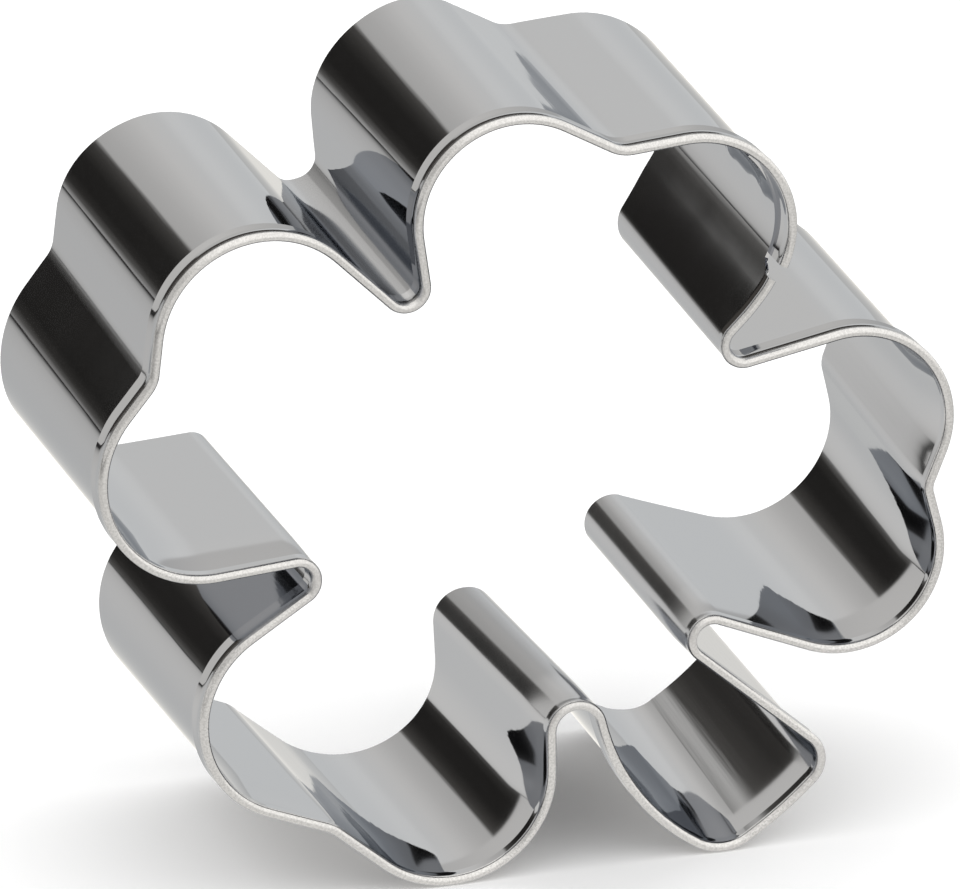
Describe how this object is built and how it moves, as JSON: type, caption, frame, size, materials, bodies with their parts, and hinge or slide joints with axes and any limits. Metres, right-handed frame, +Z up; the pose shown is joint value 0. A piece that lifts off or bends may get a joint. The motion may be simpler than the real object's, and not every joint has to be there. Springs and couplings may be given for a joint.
{
  "type": "cookie cutter",
  "caption": "Clover-shaped cookie cutter with a stem, bent from one polished steel strip with a folded hand edge and a spot-welded lap seam, standing on its side.",
  "frame": {"origin": "on the surface that the cutter stands on, under the middle of its bounding box", "axes": "+Z up, +Y from the hemmed hand edge to the plain cutting edge, +X to the right seen from the hand edge"},
  "size_m": [0.0612, 0.025, 0.0559],
  "materials": {
    "polished_steel": "polished, with a satin folded rim",
    "weld_metal": "dull, as welded"
  },
  "bodies": {
    "root": {"cutter_strip": "polished_steel", "spot_weld_front": "weld_metal", "spot_weld_middle": "weld_metal", "spot_weld_back": "weld_metal"}
  },
  "joints": []
}
